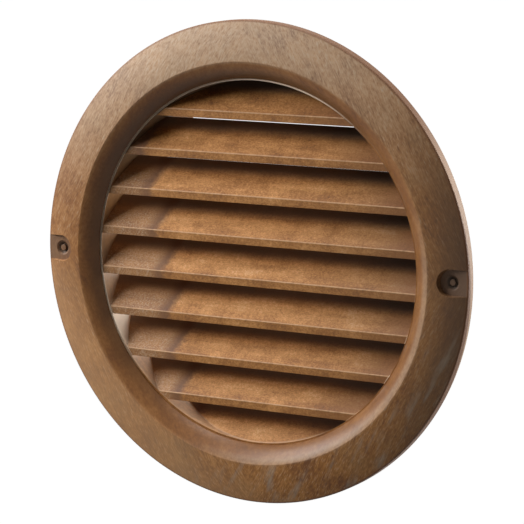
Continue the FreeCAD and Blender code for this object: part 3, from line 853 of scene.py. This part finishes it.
# Painted shadow line: one slanting plane across the slats, measured from here.
from_shadow_line = calc(plastic, "SUBTRACT", x, SHADOW_LINE_PLACE)
from_shadow_line = weighed(plastic, from_shadow_line, (z, SHADOW_LINE_LEAN), (y, -SHADOW_LINE_SKEW), (mottle, SHADOW_LINE_WAVER))
left_of_shadow_line = times(plastic, between(plastic, from_shadow_line, *LEFT_OF_SHADOW_LINE), off_ring)
# Painted shade: the slats darken towards the tube on the right.
colour = tint(plastic, colour, DARK_BROWN, between(plastic, radius, *SHADE_BY_WALL),
              between(plastic, x, *SHADE_BY_WALL_SIDE), off_ring, SHADE_BY_WALL_SHARE)
# Painted shade: the slats' back part, under the lips, is greyed and darkened.
colour = tint(plastic, colour, GAP_SHADE_GREY, between(plastic, y, *GAP_SHADE_DEPTH), off_ring, GAP_SHADE_SHARE)
# Painted shade left of the shadow line, with pale streaks of painted sheen over it.
colour = tint(plastic, colour, SHADOW_LINE_SIDE_SHADE, left_of_shadow_line, SHADOW_LINE_SIDE_SHADE_SHARE)
sheen_streaks = between(plastic, calc(plastic, "ADD", rising, fibres), *SHEEN_TONES)
colour = tint(plastic, colour, BLEACH_AND_SHEEN, left_of_shadow_line, sheen_streaks,
              between(plastic, y, *SHEEN_DEPTH), off_ring)
print("slats are coloured with", len(plastic.nodes), "nodes")

# %% [markdown]
# ## Inside the tube
# Between the slats a strip of the tube's inner wall shows on the left. It has painted shadow at the top,
# painted shade in the middle and painted light lower down. Only the strip down to the slats' backs is
# coloured, so the tube's outside and its far end stay plain. The painted shadow line is laid on after it,
# over the painted grey shade on the slats.

# %% Paint light and shade on the tube's wall, and the shadow line
TUBE_PAINTED_SHADOW = (0.035, 0.024, 0.016)
TUBE_PAINTED_SHADE = (0.240, 0.140, 0.070)
TUBE_PAINTED_LIGHT = (0.850, 0.670, 0.500)
SHADOW_LINE_BROWN = (0.120, 0.055, 0.032)
INNER_WALL = (OPENING_RADIUS + 0.4, OPENING_RADIUS + 0.1)
TUBE_FRONT, TUBE_BACK = (-LAND_HEIGHT + 0.05, -LAND_HEIGHT + 0.2), (SLAT_DEPTH + 4.0, SLAT_DEPTH)
TUBE_TOP, TUBE_MIDDLE, TUBE_MIDDLE_SHARE = (14.0, 30.0), (-16.0, -4.0), 0.6
TUBE_LIGHT_TOP, TUBE_LIGHT_FOOT, TUBE_LIGHT_SHARE = (-13.0, -17.5), (-30.0, -26.5), 0.75
TUBE_LIGHT_RUN, TUBE_LIGHT_RUN_SHARE = (5.0, -12.0), 0.25
SHADOW_LINE_RIGHT, SHADOW_LINE_LEFT, SHADOW_LINE_SHARE = (2.4, -0.4), (-4.5, -0.3), 0.8

in_tube = times(plastic, between(plastic, y, *TUBE_FRONT), between(plastic, y, *TUBE_BACK), on_ring,
                between(plastic, radius, *INNER_WALL))
# Painted shadow at the top of the tube's wall strip.
colour = tint(plastic, colour, TUBE_PAINTED_SHADOW, in_tube, between(plastic, z, *TUBE_TOP))
# Painted shade in the middle of the tube's wall strip.
colour = tint(plastic, colour, TUBE_PAINTED_SHADE, in_tube, between(plastic, z, *TUBE_MIDDLE), TUBE_MIDDLE_SHARE)
# Painted light lower down on the tube's wall strip.
tube_light = times(plastic, between(plastic, z, *TUBE_LIGHT_TOP), between(plastic, z, *TUBE_LIGHT_FOOT))
tube_light = weighed(plastic, 0.0, (between(plastic, z, *TUBE_LIGHT_RUN), TUBE_LIGHT_RUN_SHARE), (tube_light, TUBE_LIGHT_SHARE))
colour = tint(plastic, colour, TUBE_PAINTED_LIGHT, tube_light, in_tube)
# Painted shadow: a dark line across the slats on the left.
colour = tint(plastic, colour, SHADOW_LINE_BROWN, between(plastic, from_shadow_line, *SHADOW_LINE_RIGHT),
              between(plastic, from_shadow_line, *SHADOW_LINE_LEFT), off_ring, SHADOW_LINE_SHARE)
print("tube and vein are coloured with", len(plastic.nodes), "nodes")

# %% [markdown]
# ## Worn edges and painted highlights
# Thin edges catch the eye: the top edge of each lip is worn pale, with a painted highlight, and the land at
# the upper left has a painted highlight. A Bevel node could find edges, but it is slow to render and finds
# all of them. The lips stand at one pitch, so the distance to the nearest one follows from a height that is
# divided by the pitch and rounded.

# %% Wear the edges and paint their highlights
WORN_EDGE_AND_HIGHLIGHT = (0.620, 0.375, 0.205)
LAND_PAINTED_HIGHLIGHT = (0.800, 0.640, 0.480)
LIP_FRONT, LIP_SHARE = (0.2 - SLAT_FRONT, 0.05 - SLAT_FRONT), 0.10
LIP_HIGHLIGHT_WEAR, LIP_HIGHLIGHT_WEAR_START, LIP_HIGHLIGHT_WEAR_MOTTLE = (0.24, 0.12), 0.7, 0.30
LAND_HIGHLIGHT_WIDTH, LAND_HIGHLIGHT_SIDE = (0.2, 0.05), (0.0, 30.0)
LAND_OUTSIDE = (OPENING_RADIUS + LAND_WIDTH + 0.2, OPENING_RADIUS + LAND_WIDTH + 0.05)

below_lip = calc(plastic, "SUBTRACT", TOP_LIP, z)
nearest = calc(plastic, "ROUND", calc(plastic, "DIVIDE", below_lip, SLAT_PITCH))
off_lip = weighed(plastic, below_lip, (nearest, -SLAT_PITCH))
off_edge = length_of(plastic, off_lip, calc(plastic, "ADD", y, SLAT_FRONT))
colour = tint(plastic, colour, PALE_BROWN, between(plastic, y, *LIP_FRONT), off_ring, LIP_SHARE)
# Pale wear with a painted highlight along each lip's top edge.
colour = tint(plastic, colour, WORN_EDGE_AND_HIGHLIGHT, between(plastic, off_edge, *LIP_HIGHLIGHT_WEAR), off_ring,
              weighed(plastic, LIP_HIGHLIGHT_WEAR_START, (mottle, LIP_HIGHLIGHT_WEAR_MOTTLE)))
# Painted highlight along the land at the upper left.
off_land = calc(plastic, "ABSOLUTE", calc(plastic, "ADD", y, LAND_HEIGHT))
colour = tint(plastic, colour, LAND_PAINTED_HIGHLIGHT, between(plastic, off_land, *LAND_HIGHLIGHT_WIDTH),
              between(plastic, radius, *LAND_OUTSIDE), on_ring, between(plastic, to_upper_left, *LAND_HIGHLIGHT_SIDE))
print("edges are worn with", len(plastic.nodes), "nodes")

# %% [markdown]
# ## Gloss and relief
# The plastic is dull, and a little less so in the throat. The fibres stand up slightly and are a touch
# smoother than the ground between them. Real relief would need millions of faces, so a Bump node tilts the
# light instead. The gloss level is the same all over and is set on the shader itself.

# %% Set the shader
GLOSS_LEVEL = 0.3
DULLNESS, THROAT_DULLNESS, FIBRE_DULLNESS = 0.52, 0.40, -0.05
RELIEF_STRENGTH, RELIEF_HEIGHT = 0.2, 0.1 * MM

shader = plastic.nodes["Principled BSDF"]
shader.inputs["Specular IOR Level"].default_value = GLOSS_LEVEL
plastic.links.new(colour, shader.inputs["Base Color"])
dull = weighed(plastic, blend(plastic, in_throat, DULLNESS, THROAT_DULLNESS), (fibres, FIBRE_DULLNESS))
plastic.links.new(dull, shader.inputs["Roughness"])
bump = add_node(plastic, "ShaderNodeBump", {
    "Height": fibres, "Strength": RELIEF_STRENGTH, "Distance": RELIEF_HEIGHT})
plastic.links.new(bump.outputs[0], shader.inputs["Normal"])
print("finish has", len(plastic.nodes), "nodes")

# %% [markdown]
# ## One moulding
# The real cover comes out of the mould in one piece, so the shapes are joined into one closed mesh: the
# pads are added to the ring, the pockets and holes are cut out, and the slats are joined last. Edges that
# turn sharply stay crisp and the rest are shaded smooth. Boolean modifiers could do the same, one by one.

# %% Build the joining tree
CLEAN_GAP = 0.002 * MM


def build_moulding_tree():
    """A tree that adds, cuts and joins the shapes, marks the crisp edges and sets the finish."""
    shapes = {"Ring": "Object", "Lower Slats": "Object", "Top Slat": "Object"}
    shapes.update({f"Pad {i + 1}": "Object" for i in range(len(pads))})
    shapes.update({f"Cut {i + 1}": "Object" for i in range(len(cuts))})
    tree, sizes, result = new_shape_tree("vent_cover_moulding", {
        **shapes, "Crease Angle": "Float", "Finish": "Material"})

    def shape(word):
        return add_node(tree, "GeometryNodeObjectInfo", {"Object": sizes[word]}).outputs["Geometry"]

    def combine(operation, base, words):
        joined = add_node(tree, "GeometryNodeMeshBoolean", operation=operation, solver="MANIFOLD")
        tree.links.new(base, joined.inputs["Mesh 1" if operation == "DIFFERENCE" else "Mesh 2"])
        for word in words:
            tree.links.new(shape(word), joined.inputs["Mesh 2"])
        return joined.outputs["Mesh"]

    padded = combine("UNION", shape("Ring"), [word for word in shapes if word.startswith("Pad")])
    bored = combine("DIFFERENCE", padded, [word for word in shapes if word.startswith("Cut")])
    whole = combine("UNION", bored, ["Top Slat", "Lower Slats"])
    clean = add_node(tree, "GeometryNodeMergeByDistance", {"Geometry": whole, "Distance": CLEAN_GAP})
    smooth = add_node(tree, "GeometryNodeSetShadeSmooth", {
        "Geometry": clean.outputs[0], "Shade Smooth": True})
    bend = add_node(tree, "GeometryNodeInputMeshEdgeAngle").outputs["Unsigned Angle"]
    sharp = calc(tree, "GREATER_THAN", bend, sizes["Crease Angle"])
    crisp = add_node(tree, "GeometryNodeSetShadeSmooth", {
        "Geometry": smooth.outputs[0], "Selection": sharp, "Shade Smooth": False}, domain="EDGE")
    real = add_node(tree, "GeometryNodeRealizeInstances", {"Geometry": crisp.outputs[0]})
    finished = add_node(tree, "GeometryNodeSetMaterial", {
        "Geometry": real.outputs[0], "Material": sizes["Finish"]})
    tree.links.new(finished.outputs[0], result["Geometry"])
    return tree


moulding_tree = build_moulding_tree()
print("joining tree has", len(moulding_tree.nodes), "nodes")

# %% Join the moulding
CREASE_ANGLE = math.radians(28.0)

shapes = {"Ring": ring, "Lower Slats": lower_slats, "Top Slat": top_slat}
shapes.update({f"Pad {i + 1}": pad for i, pad in enumerate(pads)})
shapes.update({f"Cut {i + 1}": cut for i, cut in enumerate(cuts)})
cover = grow("vent_cover_moulding", moulding_tree, {
    **shapes, "Crease Angle": CREASE_ANGLE, "Finish": wood_effect_plastic})
for shape in shapes.values():
    bpy.data.objects.remove(shape)
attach(cover, "root")
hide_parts("vent_cover")
print("moulding volume", volume_of(cover), "with", len(cover.data.polygons), "faces")

# %% [markdown]
# ## Stage and light
# A soft key from the upper left rakes over the ring and leaves its right side darker, one light stands
# above, and two stand behind and find the rim and the inside of the tube. A world picture could light the
# cover as well. Area lights aimed at the middle are easier to move one at a time. Their directions are
# written as degrees away from the front and round the clock from the top, which is how one would move a
# lamp on a boom.

# %% Lights
LIGHTS = {
    "key": dict(away=65.0, clock=302.0, distance=0.50, size=0.26, power=2.8),
    "top": dict(away=86.0, clock=350.0, distance=1.0, size=0.40, power=6.0),
    "right_rear": dict(away=128.0, clock=60.0, distance=1.0, size=0.40, power=5.0),
    "rear": dict(away=148.0, clock=90.0, distance=1.0, size=0.40, power=4.0),
}


def add_light(name, away, clock, distance, size, power):
    """A soft square area light that faces the object."""
    away, clock = math.radians(away), math.radians(clock)
    lamp = bpy.data.lights.new(name, "AREA")
    lamp.size = size
    lamp.energy = power
    light = bpy.data.objects.new(name, lamp)
    way = Vector((math.sin(away) * math.sin(clock), -math.cos(away), math.sin(away) * math.cos(clock)))
    light.location = way * distance
    light.rotation_mode = "QUATERNION"
    light.rotation_quaternion = way.to_track_quat("Z", "Y")
    bpy.context.scene.collection.objects.link(light)


for name, setting in LIGHTS.items():
    add_light(name, **setting)
print("lights", list(LIGHTS))

# %% [markdown]
# ## A white background
# In the photograph the cover stands before plain white. A bright wall behind it would light the cover too.
# The floor lies well below it and is pale. To the camera it is topped up with white, but only so far that
# the cover's shadow would still show near it. The world is white to the camera and in reflections, and
# gives the cover only a little light.

# %% Floor and world
FLOOR_DEPTH = 1.5
FLOOR_SIZE = 60.0
FLOOR_PALE = 0.8
SHADOW_REACH, SHADOW_WHITE = (0.3, 1.0), 0.7
WORLD_LIGHT = 0.02


def seen_share(tree):
    """One for rays that look at a thing, straight, mirrored or through glass, and nothing for light."""
    rays = add_node(tree, "ShaderNodeLightPath").outputs
    indirect = calc(tree, "MAXIMUM", rays["Is Glossy Ray"], rays["Is Transmission Ray"])
    return calc(tree, "MAXIMUM", rays["Is Camera Ray"], indirect)


def add_floor():
    """A large pale floor, white to the camera away from the object's shadow."""
    half = FLOOR_SIZE / 2
    mesh = bpy.data.meshes.new("studio_floor")
    corners = [(-half, -half, 0.0), (half, -half, 0.0), (half, half, 0.0), (-half, half, 0.0)]
    mesh.from_pydata(corners, [], [range(len(corners))])
    floor = bpy.data.objects.new("studio_floor", mesh)
    floor.location.z = -FLOOR_DEPTH
    bpy.context.scene.collection.objects.link(floor)
    paint = bpy.data.materials.new("studio_floor")
    paint.use_nodes = True
    tree = paint.node_tree
    shader = tree.nodes["Principled BSDF"]
    shader.inputs["Base Color"].default_value = (FLOOR_PALE, FLOOR_PALE, FLOOR_PALE, 1.0)
    shader.inputs["Roughness"].default_value = 1.0
    shader.inputs["Specular IOR Level"].default_value = 0.0
    shader.inputs["Emission Color"].default_value = (1.0, 1.0, 1.0, 1.0)
    place = add_node(tree, "ShaderNodeTexCoord").outputs["Object"]
    far = add_node(tree, "ShaderNodeVectorMath", {0: place}, operation="LENGTH").outputs["Value"]
    white = weighed(tree, SHADOW_WHITE, (between(tree, far, *SHADOW_REACH), 1.0 - SHADOW_WHITE))
    tree.links.new(times(tree, white, seen_share(tree)), shader.inputs["Emission Strength"])
    mesh.materials.append(paint)


def set_world():
    """A world that is white to look at and gives little light."""
    world = bpy.data.worlds.new("studio_white")
    world.use_nodes = True
    bpy.context.scene.world = world
    tree = world.node_tree
    sky = tree.nodes["Background"]
    sky.inputs["Color"].default_value = (1.0, 1.0, 1.0, 1.0)
    strength = weighed(tree, WORLD_LIGHT, (seen_share(tree), 1.0 - WORLD_LIGHT))
    tree.links.new(strength, sky.inputs["Strength"])


add_floor()
set_world()
bpy.context.scene.view_settings.view_transform = "Standard"
print("floor", FLOOR_DEPTH, "m below the middle")
